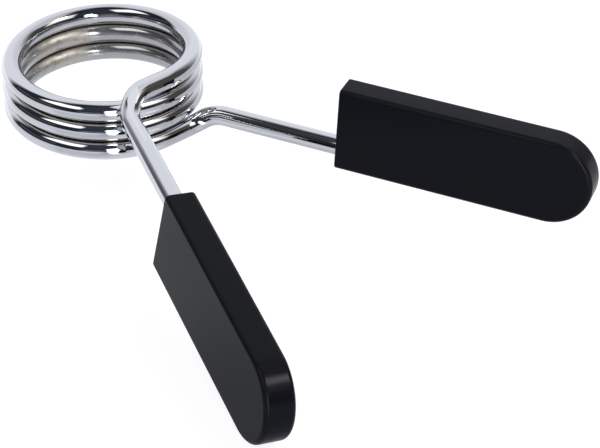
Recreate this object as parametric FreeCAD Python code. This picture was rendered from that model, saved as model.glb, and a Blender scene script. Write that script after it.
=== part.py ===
import FreeCAD, Part
import math
import os

from FreeCAD import Vector

# A spring collar that clips onto a barbell sleeve: one steel wire is wound into a coil of three
# turns, its two ends cross in front of the coil and run out as arms, and each end is doubled
# back into a hairpin that carries a flat moulded grip. Squeezing the grips unwinds the coil.
# Lengths are millimetres and angles are degrees. The coil's axis is Z, its middle is the
# origin, and the grips point towards -Y. The lower arm and grip are the upper ones turned
# half a turn about Y, but for the droop, which both share.

# Wire and coil
WIRE_DIAMETER = 6.0
BORE_DIAMETER = 48.5
TURN_GAP = 0.45
TURN_COUNT = 3

# Arms, from the front of the coil to the grips
RUN_OUT_LENGTH = 1.5
BEND_RADIUS = 11.3
BEND_SINK = 3.55
ARM_LENGTH = 36.9
SPREAD_ANGLE = 22.25
CLOSING_ANGLE = 4.1
DROOP_ANGLE = 7.1

# Grips
GRIP_LENGTH = 77.0
GRIP_WIDTH = 26.6
GRIP_THICKNESS = 9.1
GRIP_WALL = 2.65
GRIP_TWIST = 3.5
GRIP_EDGE_RADIUS = 1.4
GRIP_MOUTH_RADIUS = 0.5
TAIL_COVER = 8.0
MOULD_GAP = 0.05

# Counts that set how finely the coil is laid out and measured
SPANS_PER_TURN = 4
SAMPLES_PER_ARC = 8

WIRE_RADIUS = WIRE_DIAMETER / 2
COIL_RADIUS = (BORE_DIAMETER + WIRE_DIAMETER) / 2
PITCH = WIRE_DIAMETER + TURN_GAP
LEG_OFFSET = GRIP_WIDTH / 2 - GRIP_WALL - WIRE_RADIUS
UPPER, LOWER = 1, -1


def unit(vector):
    """The vector at length one."""
    return vector / vector.Length


def coil_point(turns):
    """Point on the coil's centre line, counted in turns up from its middle at the back."""
    angle = 2 * math.pi * turns
    return Vector(COIL_RADIUS * math.sin(angle), COIL_RADIUS * math.cos(angle), PITCH * turns)


def coil_heading(turns):
    """Direction of the rising wire at that point."""
    angle = 2 * math.pi * turns
    around = 2 * math.pi * COIL_RADIUS
    return unit(Vector(around * math.cos(angle), -around * math.sin(angle), PITCH))


def tangent_arc(start, corner, end):
    """Arc from start to end that is tangent to both sides of the corner, which are equally long."""
    chord_middle = (start + end) / 2
    half_turn = math.atan2((corner - chord_middle).Length, (end - start).Length / 2)
    share = math.tan(half_turn / 2) / math.tan(half_turn)
    return Part.Arc(start, chord_middle + (corner - chord_middle) * share, end).toShape()


def biarc(start, start_heading, end, end_heading):
    """Two arcs that leave start and reach end along the given headings."""
    chord = end - start
    along = chord.dot(start_heading + end_heading)
    spare = 2 * (1 - start_heading.dot(end_heading))
    reach = (math.sqrt(along ** 2 + spare * chord.Length ** 2) - along) / spare
    first_corner = start + start_heading * reach
    last_corner = end - end_heading * reach
    middle = (first_corner + last_corner) / 2
    return [tangent_arc(start, first_corner, middle), tangent_arc(middle, last_corner, end)]


def line(start, end):
    """Straight edge."""
    return Part.LineSegment(start, end).toShape()


def tube(edges, radius):
    """Round wire swept along a chain of edges; its volume is compared with section times length."""
    route = Part.Wire(edges)
    start = edges[0].valueAt(edges[0].FirstParameter)
    heading = edges[0].tangentAt(edges[0].FirstParameter)
    section = Part.Wire([Part.Circle(start, heading, radius).toShape()])
    sweep = Part.BRepOffsetAPI.MakePipeShell(route)
    sweep.add(section)
    sweep.build()
    sweep.makeSolid()
    solid = sweep.shape()
    if solid.Volume < 0:
        solid.reverse()
    expected = math.pi * radius ** 2 * route.Length
    print(f"  tube {route.Length:.1f} mm long, volume {solid.Volume / expected:.5f} of its section")
    return solid


def coil_route():
    """Edges of the coil from its lower end to its upper end, straight for a wire's width at each."""
    spans = TURN_COUNT * SPANS_PER_TURN
    places = [TURN_COUNT * (span / spans - 1 / 2) for span in range(spans + 1)]
    edges = []
    for low, high in zip(places, places[1:]):
        edges += biarc(coil_point(low), coil_heading(low), coil_point(high), coil_heading(high))
    first, last = coil_point(places[0]), coil_point(places[-1])
    edges.insert(0, line(first - coil_heading(places[0]) * WIRE_DIAMETER, first))
    edges.append(line(last, last + coil_heading(places[-1]) * WIRE_DIAMETER))
    return edges


def least_gap(edges):
    """Least clear distance between stretches of the coil that are over half a turn apart."""
    points = []
    for edge in edges:
        points += edge.discretize(SAMPLES_PER_ARC)[:-1]
    apart = SPANS_PER_TURN * (SAMPLES_PER_ARC - 1)
    gaps = []
    for index, point in enumerate(points):
        gaps += [(point - other).Length for other in points[index + apart:]]
    return min(gaps) - WIRE_DIAMETER


def turned(vector, axis, degrees):
    """The vector turned about an axis through the origin."""
    return FreeCAD.Rotation(axis, degrees).multVec(vector)


def handle_frame(end):
    """Outward, sideways and upward directions of one handle, with its grip's twist."""
    outward = Vector(0, -1, 0)
    upward = Vector(0, 0, 1)
    outward = turned(outward, Vector(1, 0, 0), CLOSING_ANGLE)
    upward = turned(upward, Vector(1, 0, 0), CLOSING_ANGLE)
    upward = turned(upward, outward, -GRIP_TWIST)
    frame = []
    for vector in (outward, upward.cross(outward), upward):
        vector = turned(vector, Vector(0, 0, 1), -SPREAD_ANGLE)
        vector = vector if end == UPPER else turned(vector, Vector(0, 1, 0), 180)
        frame.append(turned(vector, Vector(1, 0, 0), DROOP_ANGLE))
    return frame


def handle_points(end):
    """Start of the arm, start and end of its bend, and middle of the grip's inner end face."""
    outward, _, upward = handle_frame(end)
    place = end * TURN_COUNT / 2
    heading = coil_heading(place) * end
    start = coil_point(place) + heading * WIRE_DIAMETER
    bend_start = start + heading * RUN_OUT_LENGTH
    reach = BEND_RADIUS * math.tan(heading.getAngle(outward) / 2)
    bend_end = bend_start + (heading + outward) * reach - upward * BEND_SINK
    mouth = bend_end + outward * ARM_LENGTH - upward * LEG_OFFSET
    return start, bend_start, bend_end, mouth


def arm_route(end, tail_cover):
    """Edges of an arm: its bend, its straight, the hairpin's round end and the hidden tail."""
    outward, _, upward = handle_frame(end)
    start, bend_start, bend_end, mouth = handle_points(end)
    heading = unit(bend_start - start)
    centre = mouth + outward * (GRIP_LENGTH - GRIP_WIDTH / 2)
    offset = upward * LEG_OFFSET
    return [
        line(start, bend_start),
        *biarc(bend_start, heading, bend_end, outward),
        line(bend_end, centre + offset),
        Part.Arc(centre + offset, centre + outward * LEG_OFFSET, centre - offset).toShape(),
        line(centre - offset, mouth + outward * tail_cover - offset),
    ]


def grip_block():
    """Outside of a grip along +X from its inner end face, with rounded edges."""
    half = GRIP_WIDTH / 2
    straight = GRIP_LENGTH - half
    side = Vector(0, -GRIP_THICKNESS / 2, 0)
    places = [(straight, half), (0, half), (0, -half), (straight, -half)]
    corners = [side + Vector(along, 0, up) for along, up in places]
    edges = [line(start, end) for start, end in zip(corners, corners[1:])]
    edges.append(Part.Arc(corners[-1], side + Vector(GRIP_LENGTH, 0, 0), corners[0]).toShape())
    block = Part.Face(Part.Wire(edges)).extrude(Vector(0, GRIP_THICKNESS, 0))
    rims = [edge for edge in block.Edges if edge.BoundBox.YLength < GRIP_EDGE_RADIUS]
    long_rims = [edge for edge in rims if edge.BoundBox.XLength > GRIP_EDGE_RADIUS]
    block = block.makeFillet(GRIP_EDGE_RADIUS, long_rims)
    mouth_rims = [edge for edge in block.Edges if edge.BoundBox.XMax < GRIP_MOUTH_RADIUS]
    return block.makeFillet(GRIP_MOUTH_RADIUS, mouth_rims)


def grip(end):
    """Grip moulded around one hairpin."""
    outward, sideways, upward = handle_frame(end)
    block = grip_block()
    turn = FreeCAD.Rotation(outward, sideways, upward, "XYZ")
    block.Placement = FreeCAD.Placement(handle_points(end)[-1], turn)
    return block.cut(tube(arm_route(end, TAIL_COVER - MOULD_GAP), WIRE_RADIUS + MOULD_GAP))


def build():
    """Every piece under its node's name."""
    route = coil_route()
    print(f"  least gap between turns {least_gap(route):.2f} mm")
    return {
        "spring_coil": tube(route, WIRE_RADIUS),
        "upper_arm": tube(arm_route(UPPER, TAIL_COVER), WIRE_RADIUS),
        "lower_arm": tube(arm_route(LOWER, TAIL_COVER), WIRE_RADIUS),
        "upper_grip": grip(UPPER),
        "lower_grip": grip(LOWER),
    }


os.makedirs("parts", exist_ok=True)
for node, shape in build().items():
    solid = shape.Solids[0]
    print(f"{node}: {len(shape.Solids)} solid, valid {shape.isValid()}, {solid.Volume:.0f} mm3")
    solid.exportStep(os.path.join("parts", node + ".step"))
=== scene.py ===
import math

import bmesh
import bpy
from mathutils import Matrix, Vector


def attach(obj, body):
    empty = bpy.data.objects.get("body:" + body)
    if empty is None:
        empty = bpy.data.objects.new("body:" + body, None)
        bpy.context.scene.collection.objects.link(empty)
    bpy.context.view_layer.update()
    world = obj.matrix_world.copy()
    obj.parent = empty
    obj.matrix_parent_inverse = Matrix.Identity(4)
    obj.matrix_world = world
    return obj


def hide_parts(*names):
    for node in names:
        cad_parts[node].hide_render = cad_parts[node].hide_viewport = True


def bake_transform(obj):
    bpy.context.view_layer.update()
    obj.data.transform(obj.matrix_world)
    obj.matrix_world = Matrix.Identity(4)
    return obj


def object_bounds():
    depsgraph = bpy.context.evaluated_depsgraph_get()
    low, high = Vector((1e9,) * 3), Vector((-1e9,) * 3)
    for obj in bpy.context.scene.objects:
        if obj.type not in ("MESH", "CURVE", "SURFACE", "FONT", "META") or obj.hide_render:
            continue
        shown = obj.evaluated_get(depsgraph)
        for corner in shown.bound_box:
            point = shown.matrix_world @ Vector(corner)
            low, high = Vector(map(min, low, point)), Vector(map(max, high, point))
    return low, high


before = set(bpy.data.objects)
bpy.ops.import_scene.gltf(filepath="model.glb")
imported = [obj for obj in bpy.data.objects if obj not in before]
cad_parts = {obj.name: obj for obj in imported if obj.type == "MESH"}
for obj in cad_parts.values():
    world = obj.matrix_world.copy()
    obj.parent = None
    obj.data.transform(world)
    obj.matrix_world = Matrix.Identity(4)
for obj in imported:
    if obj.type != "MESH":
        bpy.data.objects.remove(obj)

# What a new file starts with goes
for leftover in ("Cube", "Light", "Camera"):
    if leftover in bpy.data.objects:
        bpy.data.objects.remove(bpy.data.objects[leftover])
cad_box = [list(corner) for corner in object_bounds()]

# A spring collar for a bar sleeve: three close turns of chromed wire, whose ends cross in front
# of the coil and run out into two flat black grips. Lengths are metres and angles are degrees.
# The coil's axis is Z, its middle is the origin, and the grips point towards -Y.

# Wire and coil
WIRE_RADIUS = 0.003
COIL_RADIUS = 0.02725
PITCH = 0.00645
TURNS_PER_HALF = 1.5

# Arms
RUN_OUT_LENGTH = 0.0015
BEND_RADIUS = 0.0113
BEND_SINK = 0.00355
ARM_LENGTH = 0.0369
SPREAD_ANGLE = 22.25
CLOSING_ANGLE = 4.1
DROOP_ANGLE = 7.1

# Grips
GRIP_LENGTH = 0.0770
GRIP_WIDTH = 0.0266
GRIP_THICKNESS = 0.0091
GRIP_WALL = 0.00265
GRIP_TWIST = 3.5
GRIP_EDGE_RADIUS = 0.0014
GRIP_MOUTH_RADIUS = 0.0005
TAIL_COVER = 0.008
MOULD_GAP = 0.00005

# How finely the round shapes are divided, and how near two places count as the same
RING_SIDES = 64
STEPS_PER_TURN = 192
GRIP_END_STEPS = 64
EDGE_SEGMENTS = 5
SAME_PLACE = 0.00005

# The photograph: its size and focal length in pixels, where the camera stands round the coil,
# and the pixel that the coil's middle falls on
PHOTO_WIDTH, PHOTO_HEIGHT = 600, 448
FOCAL_LENGTH = 2056.5
CAMERA_AZIMUTH, CAMERA_ELEVATION, CAMERA_ROLL = -46.31, 33.94, 0.52
CAMERA_DISTANCE = 0.6232
COIL_PIXEL = (103.2, 76.9)

# The camera's own sensor, in millimetres, and the nearest thing that it shows
SENSOR_WIDTH = 36
NEAREST_SEEN = 0.01

# Studio: a dark room with soft boxes, over a pale, slightly glossy sheet that is lit from below,
# so the shadows on it stay faint. The sheet's light is given as the camera sees it and as it
# mirrors in the object. The camera sees neither the room nor the gloss.
FLOOR_SIZE = 6.0
FLOOR_PAPER = (0.22, 0.22, 0.225, 1)
FLOOR_GLOSS = 0.35
FLOOR_ROUGHNESS = 0.15
FLOOR_SEEN = (0.88, 0.88, 0.885, 1)
FLOOR_GLOW = (0.80, 0.82, 0.86, 1)
BACKDROP_COLOUR = (0.955, 0.955, 0.96, 1)
ROOM_COLOUR = (0.030, 0.033, 0.042, 1)

# Lights and dim walls round the object: azimuth from +X and elevation of the middle, half width,
# half height and softness in degrees, and colour with its strength. Later ones cover earlier
# ones. Left and right are as the camera sees them.
ROOM_PATCHES = [
    (-130, 55, 30, 28, 8, (0.045, 0.056, 0.085, 1)),    # dark wall above the camera
    (-42, 22, 26, 26, 10, (0.10, 0.09, 0.085, 1)),      # dim wall on the right
    (-27, 59.5, 25, 15, 6, (1.05, 1.05, 1.06, 1)),      # soft box high on the right
    (20, 30, 26, 41, 21, (1.13, 1.14, 1.18, 1)),        # blurred soft box on the far right
    (61, 30, 49, 41, 9, (1.13, 1.15, 1.20, 1)),         # broad soft box behind the object
    (175, 52, 27, 12.5, 4, (2.2, 2.2, 2.2, 1)),         # soft box high on the near left
    (-71.5, 43, 22, 15, 5, (1.75, 1.68, 1.52, 1)),      # warm soft box on the near right
    (-67, 48, 10, 6, 3, (18.0, 17.5, 16.8, 1)),         # bright lamp in the warm box
    (-144, 8, 12, 9, 6, (0.22, 0.23, 0.26, 1)),         # dim wall below the camera
    (-119.5, 4, 6.5, 26, 4, (13.0, 13.1, 13.4, 1)),     # upright strip light to its right
    (148, 19, 26, 2.5, 2, (0.17, 0.18, 0.19, 1)),       # dim ledge on the left
]
# Darker patches in the sheet's light where it mirrors in the object: painted shade of the object and
# its grips on the sheet
FLOOR_SHADE_PATCHES = [
    (-153, -28, 28, 14, 8, (0.58, 0.595, 0.63, 1)),     # in front, to the left
    (-35, -25, 50, 30, 20, (0.55, 0.55, 0.58, 1)),      # on the right
    (-122, -14, 13, 8, 6, (0.36, 0.37, 0.41, 1)),       # further out, below the camera
]

# Cards that only show where they mirror in the object: middle, length and width, turn about Y
# from lying flat, and colour. The dark one stands upright in front of the coil and above it, and
# keeps the light on the left out of the lower arm. The pale one lies over the upper bend.
BLACK = (0, 0, 0, 1)
DARK_CARD = ((-0.045, -0.0475, 0.1035), (0.123, 0.049), 90, (0.055, 0.058, 0.064, 1))
PALE_CARD = ((-0.014, -0.032, 0.016), (0.008, 0.014), 0, (1.25, 1.26, 1.30, 1))

# Values that wander over a surface: the size of the blotches, and the two ends of the value
PLATE_PATCHES = (0.006, 0.45, 1.0)
PLATE_HAZE = (0.007, 0.02, 0.06)
TARNISH_BLOTCHES = (0.0022, 0.0, 1.0)
RIM_PATCHES = (0.004, 0.5, 1.0)
SATIN_ROUGHNESS = (0.012, 0.17, 0.23)

# Specks: the size of the cells that may hold one, the largest radius, and the share that do
PITS = (0.0022, 0.00018, 0.08)
TARNISH_PITS = (0.0016, 0.00042, 0.22)
DUST = (0.004, 0.00012, 0.12)

# Relief: the width and the height of its waves or grains
PLATE_WAVES = (0.005, 0.000012)
MOULD_GRAIN = (0.0003, 0.0000022)
MOULD_WAVES = (0.009, 0.00001)

# Chrome. The inner wall of the lower turns is darker by painted shade and has a dull film, and that of
# the top turn has half the painted shade and is clear. The tarnish is one patch on the film, in
# blotches.
# The gaps between turns lie half a turn above and below the middle turn, each with a brownish band of
# painted shade and, along its middle, a narrower, darker line of painted shade. What fades has a width
# or reach, and a core at full strength.
CHROME_COLOUR = (0.56, 0.57, 0.60, 1)
# Darker colour of the inner wall: painted shade inside the coil
WALL_SHADE_COLOUR = (0.385, 0.39, 0.405, 1)
WALL_FILM = 0.35
WALL_ROUGHNESS = 0.14
TOP_WALL_SHADE_SHARE = 0.5
GAP_TURNS = 0.5
TOP_TURN_BLUR = 0.1
# Warm thin plate round the tarnish, and the brownish painted shade beside the gaps between turns
THIN_PLATE_AND_SHADE_COLOUR = (0.48, 0.445, 0.395, 1)
# Painted shade beside each gap between turns: a brownish band, and a darker line along its middle,
# stronger inside the coil
CREVICE_SHADE_WIDTH = 0.0011
CREVICE_SHADE_CORE = CREVICE_SHADE_WIDTH / 4
GAP_SHADE_COLOUR = (0.045, 0.036, 0.028, 1)
GAP_SHADE_WIDTH = 0.00056
GAP_SHADE_CORE = GAP_SHADE_WIDTH / 2
OUTER_GAP_SHADE, INNER_GAP_SHADE = 0.4, 0.9
TARNISH_COLOUR = (0.22, 0.175, 0.13, 1)
TARNISH_PLACE = (0.004, 0.0237, -0.001)
TARNISH_REACH = 0.014
TARNISH_CORE = TARNISH_REACH / 3
TARNISH_FROM, TARNISH_FULL = 0.45, 0.9
TARNISH_STRENGTH = 0.6
TARNISH_ROUGHNESS = 0.3
PIT_COLOUR = (0.05, 0.038, 0.028, 1)

# Plastic: satin black, polished a little along its rims and lighter there, partly wear and partly
# painted sheen
PLASTIC_COLOUR = (0.0056, 0.0059, 0.0084, 1)
PLASTIC_TINT = (0.90, 0.93, 1.0, 1)
PLASTIC_SPECULAR = 0.062
PLASTIC_RIM_WEAR_AND_SHEEN_COLOUR = (0.0105, 0.011, 0.0135, 1)
RIM_WEAR_AND_SHEEN_WIDTH = 0.0018
RIM_POLISH = 0.04
DUST_COLOUR = (0.05, 0.05, 0.054, 1)

# Noise: the range that nearly all of it keeps to, and its detail in blotches and in relief
NOISE_LOW, NOISE_HIGH = 0.3, 0.7
BLOTCH_DETAIL = 4.0
RELIEF_DETAIL = 2.0

# Specks of every kind: the share of the radius at full strength, and the smallest radius
SPECK_CORE_SHARE = 0.5
SMALLEST_SPECK = 0.00001

LEG_OFFSET = GRIP_WIDTH / 2 - GRIP_WALL - WIRE_RADIUS
X_AXIS, Y_AXIS, Z_AXIS = Vector((1, 0, 0)), Vector((0, 1, 0)), Vector((0, 0, 1))
UPPER, LOWER = 1, -1
BODY = {UPPER: "upper_handle", LOWER: "lower_handle"}
SIDE = {UPPER: "upper", LOWER: "lower"}


def turned(vector, axis, degrees):
    """The vector turned about an axis through the origin."""
    return Matrix.Rotation(math.radians(degrees), 3, axis) @ vector


def coil_point(turns):
    """Point on the coil's centre line, counted in turns up from its middle at the back."""
    angle = math.tau * turns
    return Vector((COIL_RADIUS * math.sin(angle), COIL_RADIUS * math.cos(angle), PITCH * turns))


def coil_heading(turns):
    """Direction of the rising wire at that point."""
    angle = math.tau * turns
    around = math.tau * COIL_RADIUS
    return Vector((around * math.cos(angle), -around * math.sin(angle), PITCH)).normalized()


def handle_frame(end):
    """Outward, sideways and upward directions of one handle."""
    outward = turned(-Y_AXIS, X_AXIS, CLOSING_ANGLE)
    upward = turned(turned(Z_AXIS, X_AXIS, CLOSING_ANGLE), outward, -GRIP_TWIST)
    directions = []
    for vector in (outward, upward.cross(outward), upward):
        vector = turned(vector, Z_AXIS, -SPREAD_ANGLE)
        if end == LOWER:
            vector = turned(vector, Y_AXIS, 180)
        directions.append(turned(vector, X_AXIS, DROOP_ANGLE))
    return directions


def arm_places(end):
    """Heading of the wire as it leaves the coil, then the arm's start, end of bend and grip mouth."""
    outward, _, upward = handle_frame(end)
    heading = coil_heading(end * TURNS_PER_HALF) * end
    start = coil_point(end * TURNS_PER_HALF) + heading * 2 * WIRE_RADIUS
    bend_start = start + heading * RUN_OUT_LENGTH
    reach = BEND_RADIUS * math.tan(heading.angle(outward) / 2)
    bend_end = bend_start + (heading + outward) * reach - upward * BEND_SINK
    mouth = bend_end + outward * ARM_LENGTH - upward * LEG_OFFSET
    return heading, start, bend_end, mouth


class Tube:
    """A round wire grown from one end: its last ring is extruded along straights and spun on arcs."""

    def __init__(self, place, heading, outside, radius):
        self.mesh = bmesh.new()
        self.place = place.copy()
        self.heading = heading.normalized()
        facing = Matrix((outside, self.heading.cross(outside), self.heading)).transposed()
        ring = bmesh.ops.create_circle(
            self.mesh, cap_ends=True, radius=radius, segments=RING_SIDES,
            matrix=Matrix.Translation(place) @ facing.to_4x4())
        around = (edge for vert in ring["verts"] for edge in vert.link_edges)
        self.rims = list(dict.fromkeys(around))
        self.ring = list(self.rims)

    def straight(self, length):
        """Grows the wire straight ahead."""
        grown = bmesh.ops.extrude_edge_only(self.mesh, edges=self.ring)["geom"]
        verts = [item for item in grown if isinstance(item, bmesh.types.BMVert)]
        bmesh.ops.translate(self.mesh, verts=verts, vec=self.heading * length)
        self.ring = [item for item in grown if isinstance(item, bmesh.types.BMEdge)
                     and all(vert in verts for vert in item.verts)]
        self.place += self.heading * length

    def spin(self, centre, axis, angle, rise=Vector()):
        """Grows the wire round an axis, rising along it as a screw does if a rise is given."""
        steps = max(2, round(STEPS_PER_TURN * abs(angle) / math.tau))
        grown = bmesh.ops.spin(
            self.mesh, geom=self.ring, cent=centre, axis=axis, dvec=rise / steps, angle=angle,
            steps=steps, use_merge=False, use_duplicate=False)["geom_last"]
        self.ring = [item for item in grown if isinstance(item, bmesh.types.BMEdge)]
        turn = Matrix.Rotation(angle, 3, axis)
        self.place = turn @ (self.place - centre) + centre + rise
        self.heading = turn @ self.heading

    def bend(self, corner, end):
        """Grows an arc to end that is tangent to the lines through the corner."""
        last_heading = (end - corner).normalized()
        angle = self.heading.angle(last_heading)
        axis = self.heading.cross(last_heading).normalized()
        radius = (corner - self.place).length / math.tan(angle / 2)
        self.spin(self.place + axis.cross(self.heading) * radius, axis, angle)

    def double_bend(self, end, end_heading):
        """Grows two arcs to end, reached along the given heading."""
        chord = end - self.place
        along = chord.dot(self.heading + end_heading)
        spare = 2 * (1 - self.heading.dot(end_heading))
        reach = (math.sqrt(along ** 2 + spare * chord.length_squared) - along) / spare
        first = self.place + self.heading * reach
        last = end - end_heading * reach
        middle = (first + last) / 2
        self.bend(first, middle)
        self.bend(last, end)

    def piece(self, name):
        """Closes the far end and gives the finished object, smooth but for its two rims."""
        bmesh.ops.contextual_create(self.mesh, geom=self.ring)
        return finished(self.mesh, name, self.rims + self.ring)


def finished(mesh, name, sharp_edges=()):
    """Object made of the mesh, with smooth faces apart from the sharp edges."""
    bmesh.ops.recalc_face_normals(mesh, faces=mesh.faces)
    for face in mesh.faces:
        face.smooth = True
    for edge in sharp_edges:
        edge.smooth = False
    data = bpy.data.meshes.new(name)
    mesh.to_mesh(data)
    mesh.free()
    piece = bpy.data.objects.new(name, data)
    bpy.context.scene.collection.objects.link(piece)
    return piece


def mark(piece, name, measured):
    """Gives each point of the piece a vector that its finish reads."""
    spots = piece.data.attributes.new(name, "FLOAT_VECTOR", "POINT").data
    for vert, spot in zip(piece.data.vertices, spots):
        spot.vector = measured(vert.co)


def in_coil(place):
    """Turns above the middle turn, and how far outside the coil's centre line."""
    turns = place.z / PITCH - math.atan2(place.x, place.y) / math.tau
    return turns, place.xy.length - COIL_RADIUS, 0


def coil_half(end):
    """Half of the coil, from its middle at the back to the end where an arm goes on."""
    tube = Tube(coil_point(0), coil_heading(0) * end, Y_AXIS, WIRE_RADIUS)
    rise = Z_AXIS * PITCH * TURNS_PER_HALF * end
    tube.spin(Vector(), Z_AXIS, -end * math.tau * TURNS_PER_HALF, rise)
    tube.straight(2 * WIRE_RADIUS)
    piece = tube.piece(SIDE[end] + "_turns")
    mark(piece, "in_coil", in_coil)
    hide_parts("spring_coil")
    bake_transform(piece)
    return piece


def arm_tube(end, radius, tail_cover):
    """An arm and its hidden hairpin, grown from the coil's end."""
    outward, sideways, upward = handle_frame(end)
    heading, start, bend_end, _ = arm_places(end)
    tube = Tube(start, heading, -Y_AXIS, radius)
    tube.straight(RUN_OUT_LENGTH)
    tube.double_bend(bend_end, outward)
    tube.straight(ARM_LENGTH + GRIP_LENGTH - GRIP_WIDTH / 2)
    tube.spin(tube.place - upward * LEG_OFFSET, sideways, math.pi)
    tube.straight(GRIP_LENGTH - GRIP_WIDTH / 2 - tail_cover)
    return tube


def arm(end):
    """The visible arm and the hairpin inside its grip."""
    piece = arm_tube(end, WIRE_RADIUS, TAIL_COVER).piece(SIDE[end] + "_wire_arm")
    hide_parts(SIDE[end] + "_arm")
    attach(piece, BODY[end])
    return piece


def grip_block():
    """Grip along +X from its inner end face: an outline with a half round end, made thick."""
    half = GRIP_WIDTH / 2
    straight = GRIP_LENGTH - half
    mesh = bmesh.new()
    corner = mesh.verts.new((0, -GRIP_THICKNESS / 2, -half))
    far = mesh.verts.new((straight, -GRIP_THICKNESS / 2, -half))
    mesh.edges.new((corner, far))
    centre = Vector((straight, -GRIP_THICKNESS / 2, 0))
    spun = bmesh.ops.spin(mesh, geom=[far], cent=centre, axis=-Y_AXIS, angle=math.pi,
                          steps=GRIP_END_STEPS)["geom_last"]
    near = bmesh.ops.extrude_vert_indiv(mesh, verts=[spun[0]])["verts"][0]
    near.co.x = 0
    mesh.edges.new((near, corner))
    face = bmesh.ops.contextual_create(mesh, geom=mesh.edges[:])["faces"]
    grown = bmesh.ops.extrude_face_region(mesh, geom=face)["geom"]
    raised = [item for item in grown if isinstance(item, bmesh.types.BMVert)]
    bmesh.ops.translate(mesh, verts=raised, vec=Y_AXIS * GRIP_THICKNESS)
    return mesh


def in_end_face(edge):
    """True if the edge lies in the inner end face of the grip block."""
    return all(abs(vert.co.x) < SAME_PLACE for vert in edge.verts)


def in_wide_face(edge):
    """True if the edge lies in one of the two wide faces of the grip block."""
    first, last = edge.verts
    return abs(first.co.y - last.co.y) < SAME_PLACE


def rounded(mesh, edges, radius):
    """Rounds the edges."""
    bmesh.ops.bevel(mesh, geom=edges, offset=radius, offset_type="OFFSET", affect="EDGES",
                    segments=EDGE_SEGMENTS, profile=0.5, material=-1, clamp_overlap=False)


def without(piece, cutter):
    """Takes the cutter's space out of the piece, and removes the cutter."""
    cut = piece.modifiers.new("cut", "BOOLEAN")
    cut.object = cutter
    cut.solver = "EXACT"
    graph = bpy.context.evaluated_depsgraph_get()
    piece.data = bpy.data.meshes.new_from_object(piece.evaluated_get(graph))
    piece.modifiers.clear()
    piece.data.materials.clear()
    bpy.data.objects.remove(cutter)


def grip(end):
    """One moulded grip, with rounded edges and the tunnel of the wire that it is moulded on."""
    mesh = grip_block()
    bmesh.ops.recalc_face_normals(mesh, faces=mesh.faces)
    rims = [edge for edge in mesh.edges if in_wide_face(edge) and not in_end_face(edge)]
    rounded(mesh, rims, GRIP_EDGE_RADIUS)
    mouth = [edge for edge in mesh.edges if in_end_face(edge)]
    rounded(mesh, mouth, GRIP_MOUTH_RADIUS)
    facing = Matrix(handle_frame(end)).transposed().to_4x4()
    placed = Matrix.Translation(arm_places(end)[-1]) @ facing
    bmesh.ops.transform(mesh, matrix=placed, verts=mesh.verts)
    piece = finished(mesh, SIDE[end] + "_hand_grip")
    without(piece, arm_tube(end, WIRE_RADIUS + MOULD_GAP, TAIL_COVER - MOULD_GAP).piece("tunnel"))
    to_grip = placed.inverted()
    mark(piece, "in_grip", lambda place: to_grip @ place)
    piece.modifiers.new("even_shading", "WEIGHTED_NORMAL").keep_sharp = True
    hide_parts(SIDE[end] + "_grip")
    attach(piece, BODY[end])
    return piece


class Nodes:
    """Adds nodes to one tree and links them."""

    def __init__(self, tree):
        self.tree = tree

    def add(self, kind, inputs=(), output=0, **settings):
        """New node with its inputs by name or in order, each a value or a link. Gives one output."""
        node = self.tree.nodes.new("ShaderNode" + kind)
        for name, value in settings.items():
            setattr(node, name, value)
        for key, value in inputs.items() if isinstance(inputs, dict) else enumerate(inputs):
            self.join(value, node.inputs[key])
        return node.outputs[output]

    def join(self, value, socket):
        """Sets the socket to a value, or links it."""
        if isinstance(value, bpy.types.NodeSocket):
            self.tree.links.new(value, socket)
        else:
            socket.default_value = value

    def maths(self, operation, *inputs):
        """Result of a Math node."""
        return self.add("Math", inputs, operation=operation)

    def vector(self, operation, *inputs):
        """Vector result of a Vector Math node."""
        return self.add("VectorMath", inputs, operation=operation)

    def parts(self, vector):
        """The three numbers of a vector."""
        node = self.tree.nodes.new("ShaderNodeSeparateXYZ")
        self.join(vector, node.inputs[0])
        return list(node.outputs)

    def length(self, vector):
        """Length of a vector."""
        return self.add("VectorMath", [vector], output="Value", operation="LENGTH")

    def ramp(self, value, low, high):
        """0 to 1, smoothly, as the value goes from low to high."""
        return self.add("MapRange", [value, low, high], interpolation_type="SMOOTHSTEP")

    def mixed(self, share, first, second):
        """Colour from first to second."""
        node = self.tree.nodes.new("ShaderNodeMix")
        node.data_type = "RGBA"
        sockets = [socket for socket in node.inputs if socket.enabled]
        for value, socket in zip((share, first, second), sockets):
            self.join(value, socket)
        return [socket for socket in node.outputs if socket.enabled][0]

    def group(self, tree, inputs):
        """A node group placed with its own values."""
        return self.add("Group", inputs, node_tree=tree)


def new_group(name, inputs, output):
    """Empty group: the group, its nodes, its input links by name and a call that sets its output."""
    tree = bpy.data.node_groups.new(name, "ShaderNodeTree")
    for label, kind in inputs.items():
        tree.interface.new_socket(label, in_out="INPUT", socket_type="NodeSocket" + kind)
    tree.interface.new_socket(output[0], in_out="OUTPUT", socket_type="NodeSocket" + output[1])
    nodes = Nodes(tree)
    given = tree.nodes.new("NodeGroupInput").outputs
    result = tree.nodes.new("NodeGroupOutput").inputs[0]
    return tree, nodes, given, lambda link: tree.links.new(link, result)


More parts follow.
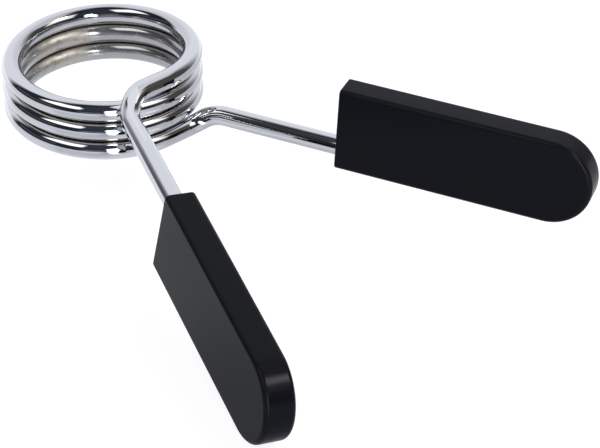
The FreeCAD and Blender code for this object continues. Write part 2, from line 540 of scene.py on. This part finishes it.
def light_patch_group():
    """Mask of a soft-edged patch of the sky: 1 inside its half width and half height."""
    tree, nodes, given, give = new_group(
        "light_patch",
        {"Direction": "Vector", "Azimuth": "Float", "Elevation": "Float", "Half width": "Float",
         "Half height": "Float", "Softness": "Float"}, ("Mask", "Float"))
    back_turn = nodes.maths("MULTIPLY", nodes.maths("RADIANS", given["Azimuth"]), -1.0)
    facing = nodes.add("VectorRotate", {"Vector": given["Direction"], "Angle": back_turn},
                       rotation_type="Z_AXIS")
    ahead, aside, upward = nodes.parts(facing)
    across = nodes.maths("DEGREES", nodes.maths("ARCTAN2", aside, ahead))
    height = nodes.maths("DEGREES", nodes.maths("ARCSINE", upward))
    above = nodes.maths("SUBTRACT", height, given["Elevation"])
    shares = []
    for offset, half in ((across, given["Half width"]), (above, given["Half height"])):
        inside = nodes.maths("SUBTRACT", half, nodes.maths("ABSOLUTE", offset))
        shares.append(nodes.ramp(nodes.maths("DIVIDE", inside, given["Softness"]), -1.0, 1.0))
    give(nodes.maths("MULTIPLY", *shares))
    return tree


def unevenness_group():
    """A value that wanders between two ends over blotches of a given size."""
    tree, nodes, given, give = new_group(
        "unevenness", {"Vector": "Vector", "Size": "Float", "Low": "Float", "High": "Float"},
        ("Value", "Float"))
    scale = nodes.maths("DIVIDE", 1.0, given["Size"])
    noise = nodes.add("TexNoise", {"Vector": given["Vector"], "Scale": scale, "Detail": BLOTCH_DETAIL})
    give(nodes.add("MapRange", [noise, NOISE_LOW, NOISE_HIGH, given["Low"], given["High"]]))
    return tree


def specks_group():
    """Mask of small round specks, in a share of the cells of a given size."""
    tree, nodes, given, give = new_group(
        "specks", {"Vector": "Vector", "Cell": "Float", "Radius": "Float", "Share": "Float"},
        ("Mask", "Float"))
    cell = nodes.tree.nodes.new("ShaderNodeTexVoronoi")
    nodes.join(given["Vector"], cell.inputs["Vector"])
    nodes.join(nodes.maths("DIVIDE", 1.0, given["Cell"]), cell.inputs["Scale"])
    chance = nodes.tree.nodes.new("ShaderNodeSeparateColor")
    nodes.join(cell.outputs["Color"], chance.inputs[0])
    distance = nodes.maths("MULTIPLY", cell.outputs["Distance"], given["Cell"])
    radius = nodes.maths("MULTIPLY", given["Radius"], chance.outputs["Green"])
    inside = nodes.maths("DIVIDE", distance, nodes.maths("MAXIMUM", radius, SMALLEST_SPECK))
    dot = nodes.maths("SUBTRACT", 1.0, nodes.ramp(inside, SPECK_CORE_SHARE, 1.0))
    chosen = nodes.maths("LESS_THAN", chance.outputs["Red"], given["Share"])
    give(nodes.maths("MULTIPLY", dot, chosen))
    return tree


def relief_group():
    """Normal of a surface with low waves or grain of a given size and height."""
    tree, nodes, given, give = new_group(
        "relief", {"Vector": "Vector", "Size": "Float", "Height": "Float", "Normal": "Vector"},
        ("Normal", "Vector"))
    scale = nodes.maths("DIVIDE", 1.0, given["Size"])
    noise = nodes.add("TexNoise", {"Vector": given["Vector"], "Scale": scale, "Detail": RELIEF_DETAIL})
    give(nodes.add("Bump", {"Strength": 1.0, "Distance": given["Height"], "Height": noise,
                            "Normal": given["Normal"]}))
    return tree


def lit(nodes, light_patch, direction, colour, patches):
    """Colour of the surroundings in a direction, with the patches laid over it."""
    for *shape, light in patches:
        mask = nodes.group(light_patch, [direction, *map(float, shape)])
        colour = nodes.mixed(mask, colour, light)
    return colour


def studio(light_patch):
    """World of soft boxes and dim walls; the camera itself sees a plain pale backdrop."""
    world = bpy.data.worlds.new("studio")
    bpy.context.scene.world = world
    world.use_nodes = True
    world.node_tree.nodes.clear()
    nodes = Nodes(world.node_tree)
    direction = nodes.add("TexCoord", output="Generated")
    colour = lit(nodes, light_patch, direction, ROOM_COLOUR, ROOM_PATCHES)
    seen = nodes.add("LightPath", output="Is Camera Ray")
    background = nodes.add("Background", [nodes.mixed(seen, colour, BACKDROP_COLOUR)])
    output = nodes.tree.nodes.new("ShaderNodeOutputWorld")
    nodes.join(background, output.inputs["Surface"])


def floor(light_patch):
    """Plain pale sheet under the lowest point, lit from below. Its gloss only shows in the object."""
    mesh = bmesh.new()
    bmesh.ops.create_grid(mesh, x_segments=1, y_segments=1, size=FLOOR_SIZE / 2)
    bmesh.ops.translate(mesh, verts=mesh.verts, vec=Z_AXIS * cad_box[0][2])
    piece = finished(mesh, "floor")
    material, nodes, shader = new_material("floor_sheet")
    shader["Base Color"].default_value = FLOOR_PAPER
    shader["Roughness"].default_value = FLOOR_ROUGHNESS
    direction = nodes.vector("NORMALIZE", nodes.add("TexCoord", output="Object"))
    # The sheet's light as it mirrors in the object, with darker patches of painted shade
    glow = lit(nodes, light_patch, direction, FLOOR_GLOW, FLOOR_SHADE_PATCHES)
    seen = nodes.add("LightPath", output="Is Camera Ray")
    nodes.join(nodes.mixed(seen, glow, FLOOR_SEEN), shader["Emission Color"])
    gloss = nodes.maths("MULTIPLY_ADD", seen, -FLOOR_GLOSS, FLOOR_GLOSS)
    nodes.join(gloss, shader["Specular IOR Level"])
    shader["Emission Strength"].default_value = 1.0
    piece.data.materials.append(material)


def card(name, middle, size, turn, colour):
    """Card that only shows where it mirrors in the object: a unit square, stretched to its size."""
    mesh = bmesh.new()
    rotation = Matrix.Rotation(math.radians(turn), 4, "Y")
    placed = Matrix.Translation(middle) @ rotation @ Matrix.Diagonal((*size, 1, 1))
    bmesh.ops.create_grid(mesh, x_segments=1, y_segments=1, size=0.5, matrix=placed)
    piece = finished(mesh, name)
    material, _, shader = new_material(name)
    shader["Base Color"].default_value = BLACK
    shader["Specular IOR Level"].default_value = 0.0
    shader["Emission Color"].default_value = colour
    shader["Emission Strength"].default_value = 1.0
    piece.data.materials.append(material)
    piece.visible_camera = piece.visible_diffuse = piece.visible_shadow = False


def camera():
    """Camera that looks from where the photograph was taken."""
    azimuth, elevation, roll = (math.radians(angle) for angle in (
        CAMERA_AZIMUTH, CAMERA_ELEVATION, CAMERA_ROLL))
    back = Vector((math.sin(azimuth) * math.cos(elevation), -math.cos(azimuth) * math.cos(elevation),
                   math.sin(elevation)))
    level = Vector((math.cos(azimuth), math.sin(azimuth), 0))
    right = Matrix.Rotation(roll, 3, back) @ level
    up = back.cross(right)
    per_pixel = CAMERA_DISTANCE / FOCAL_LENGTH
    place = (back * CAMERA_DISTANCE - right * (COIL_PIXEL[0] - PHOTO_WIDTH / 2) * per_pixel
             + up * (COIL_PIXEL[1] - PHOTO_HEIGHT / 2) * per_pixel)
    data = bpy.data.cameras.new("camera")
    data.sensor_width = SENSOR_WIDTH
    data.lens = SENSOR_WIDTH * FOCAL_LENGTH / PHOTO_WIDTH
    data.clip_start = NEAREST_SEEN
    lens = bpy.data.objects.new("camera", data)
    lens.matrix_world = Matrix.Translation(place) @ Matrix((right, up, back)).transposed().to_4x4()
    bpy.context.scene.collection.objects.link(lens)
    bpy.context.scene.camera = lens


def new_material(name):
    """Material with its nodes and the inputs of its shader."""
    material = bpy.data.materials.new(name)
    material.use_nodes = True
    return material, Nodes(material.node_tree), material.node_tree.nodes["Principled BSDF"].inputs


def chrome(unevenness, specks, relief):
    """Bright chrome plate with painted shade on the inner wall and along the gaps, dull inside the
    lower turns, tarnished in one place.
    """
    material, nodes, shader = new_material("chrome_plate")
    place = nodes.add("TexCoord", output="Object")
    turns, outside = nodes.parts(nodes.add("Attribute", output="Vector", attribute_name="in_coil"))[:2]
    inside = nodes.ramp(outside, 0.0, -WIRE_RADIUS / 2)
    lower = nodes.ramp(turns, GAP_TURNS + TOP_TURN_BLUR, GAP_TURNS - TOP_TURN_BLUR)
    lower_wall = nodes.maths("MULTIPLY", inside, lower)
    # Painted shade on the inner wall: full on the lower turns, half on the top turn
    wall_shade_share = nodes.maths("MULTIPLY_ADD", lower, 1 - TOP_WALL_SHADE_SHARE, TOP_WALL_SHADE_SHARE)
    wall_shade = nodes.maths("MULTIPLY", inside, wall_shade_share)
    patchy = nodes.group(unevenness, [place, *PLATE_PATCHES])
    dull = nodes.maths("MULTIPLY", lower_wall, patchy)

    # Painted shade beside and along each gap between turns: a brownish band and a darker middle line,
    # stronger inside the coil
    off_gap = nodes.maths("SUBTRACT", nodes.maths("ABSOLUTE", turns), GAP_TURNS)
    from_gap = nodes.maths("MULTIPLY", nodes.maths("ABSOLUTE", off_gap), PITCH)
    crevice_shade = nodes.ramp(from_gap, CREVICE_SHADE_WIDTH, CREVICE_SHADE_CORE)
    gap_shade = nodes.maths("MULTIPLY", nodes.ramp(from_gap, GAP_SHADE_WIDTH, GAP_SHADE_CORE),
                        nodes.maths("MULTIPLY_ADD", inside, INNER_GAP_SHADE - OUTER_GAP_SHADE, OUTER_GAP_SHADE))

    away = nodes.length(nodes.vector("SUBTRACT", place, TARNISH_PLACE))
    near = nodes.maths("MULTIPLY", nodes.ramp(away, TARNISH_REACH, TARNISH_CORE), lower_wall)
    blotches = nodes.group(unevenness, [place, *TARNISH_BLOTCHES])
    stained = nodes.maths("MULTIPLY", near, nodes.ramp(blotches, TARNISH_FROM, TARNISH_FULL))
    stain = nodes.maths("MULTIPLY", stained, TARNISH_STRENGTH)
    # Thin plate round the tarnish, and painted shade beside the gaps, in one colour
    thin_plate_and_shade = nodes.maths("MULTIPLY", nodes.maths("MAXIMUM", near, crevice_shade), patchy)
    stain_pits = nodes.maths("MULTIPLY", near, nodes.group(specks, [place, *TARNISH_PITS]))
    pits = nodes.maths("MAXIMUM", nodes.group(specks, [place, *PITS]), stain_pits)

    # Painted shade of the inner wall, thin plate, painted shade of the gaps, tarnish and pits, laid on
    # in turn
    colour = CHROME_COLOUR
    for share, coat in ((wall_shade, WALL_SHADE_COLOUR), (thin_plate_and_shade, THIN_PLATE_AND_SHADE_COLOUR), (stain, TARNISH_COLOUR),
                        (gap_shade, GAP_SHADE_COLOUR), (pits, PIT_COLOUR)):
        colour = nodes.mixed(share, colour, coat)
    nodes.join(colour, shader["Base Color"])
    haze = nodes.group(unevenness, [place, *PLATE_HAZE])
    rough = nodes.maths("MULTIPLY_ADD", dull, WALL_ROUGHNESS, haze)
    nodes.join(nodes.maths("MULTIPLY_ADD", near, TARNISH_ROUGHNESS, rough), shader["Roughness"])
    nodes.join(nodes.maths("MULTIPLY_ADD", dull, -WALL_FILM, 1.0), shader["Metallic"])
    nodes.join(nodes.group(relief, [place, *PLATE_WAVES]), shader["Normal"])
    return material


def plastic(unevenness, specks, relief):
    """Black satin plastic: fine grain, slightly polished rims that are lighter with wear and painted
    sheen, and a little dust.
    """
    material, nodes, shader = new_material("satin_plastic")
    place = nodes.add("TexCoord", output="Object")
    in_grip = nodes.add("Attribute", output="Vector", attribute_name="in_grip")
    along, sideways, upward = nodes.parts(in_grip)
    beyond = nodes.maths("MAXIMUM", nodes.maths("SUBTRACT", along, GRIP_LENGTH - GRIP_WIDTH / 2), 0.0)
    from_middle = nodes.length(nodes.add("CombineXYZ", [beyond, upward, 0.0]))
    edges = []
    for reach, half in ((from_middle, GRIP_WIDTH / 2),
                        (nodes.maths("ABSOLUTE", sideways), GRIP_THICKNESS / 2)):
        edges.append(nodes.ramp(reach, half - RIM_WEAR_AND_SHEEN_WIDTH, half))
    patchy = nodes.group(unevenness, [place, *RIM_PATCHES])
    # Lighter rims: partly wear, partly painted sheen
    rim_wear_and_sheen = nodes.maths("MULTIPLY", nodes.maths("MULTIPLY", *edges), patchy)
    dust = nodes.group(specks, [place, *DUST])
    colour = nodes.mixed(rim_wear_and_sheen, PLASTIC_COLOUR, PLASTIC_RIM_WEAR_AND_SHEEN_COLOUR)
    nodes.join(nodes.mixed(dust, colour, DUST_COLOUR), shader["Base Color"])
    satin = nodes.group(unevenness, [place, *SATIN_ROUGHNESS])
    nodes.join(nodes.maths("MULTIPLY_ADD", rim_wear_and_sheen, -RIM_POLISH, satin), shader["Roughness"])
    shader["Specular IOR Level"].default_value = PLASTIC_SPECULAR
    shader["Specular Tint"].default_value = PLASTIC_TINT
    grain = nodes.group(relief, [place, *MOULD_GRAIN])
    nodes.join(nodes.group(relief, [place, *MOULD_WAVES, grain]), shader["Normal"])
    return material


bpy.context.scene.view_settings.view_transform = "Standard"
camera()
sky_patch = light_patch_group()
studio(sky_patch)
floor(sky_patch)
card("dark_card", *DARK_CARD)
card("pale_card", *PALE_CARD)
effects = unevenness_group(), specks_group(), relief_group()
plate, satin = chrome(*effects), plastic(*effects)
for end in (UPPER, LOWER):
    for wire in (coil_half(end), arm(end)):
        wire.data.materials.append(plate)
    grip(end).data.materials.append(satin)
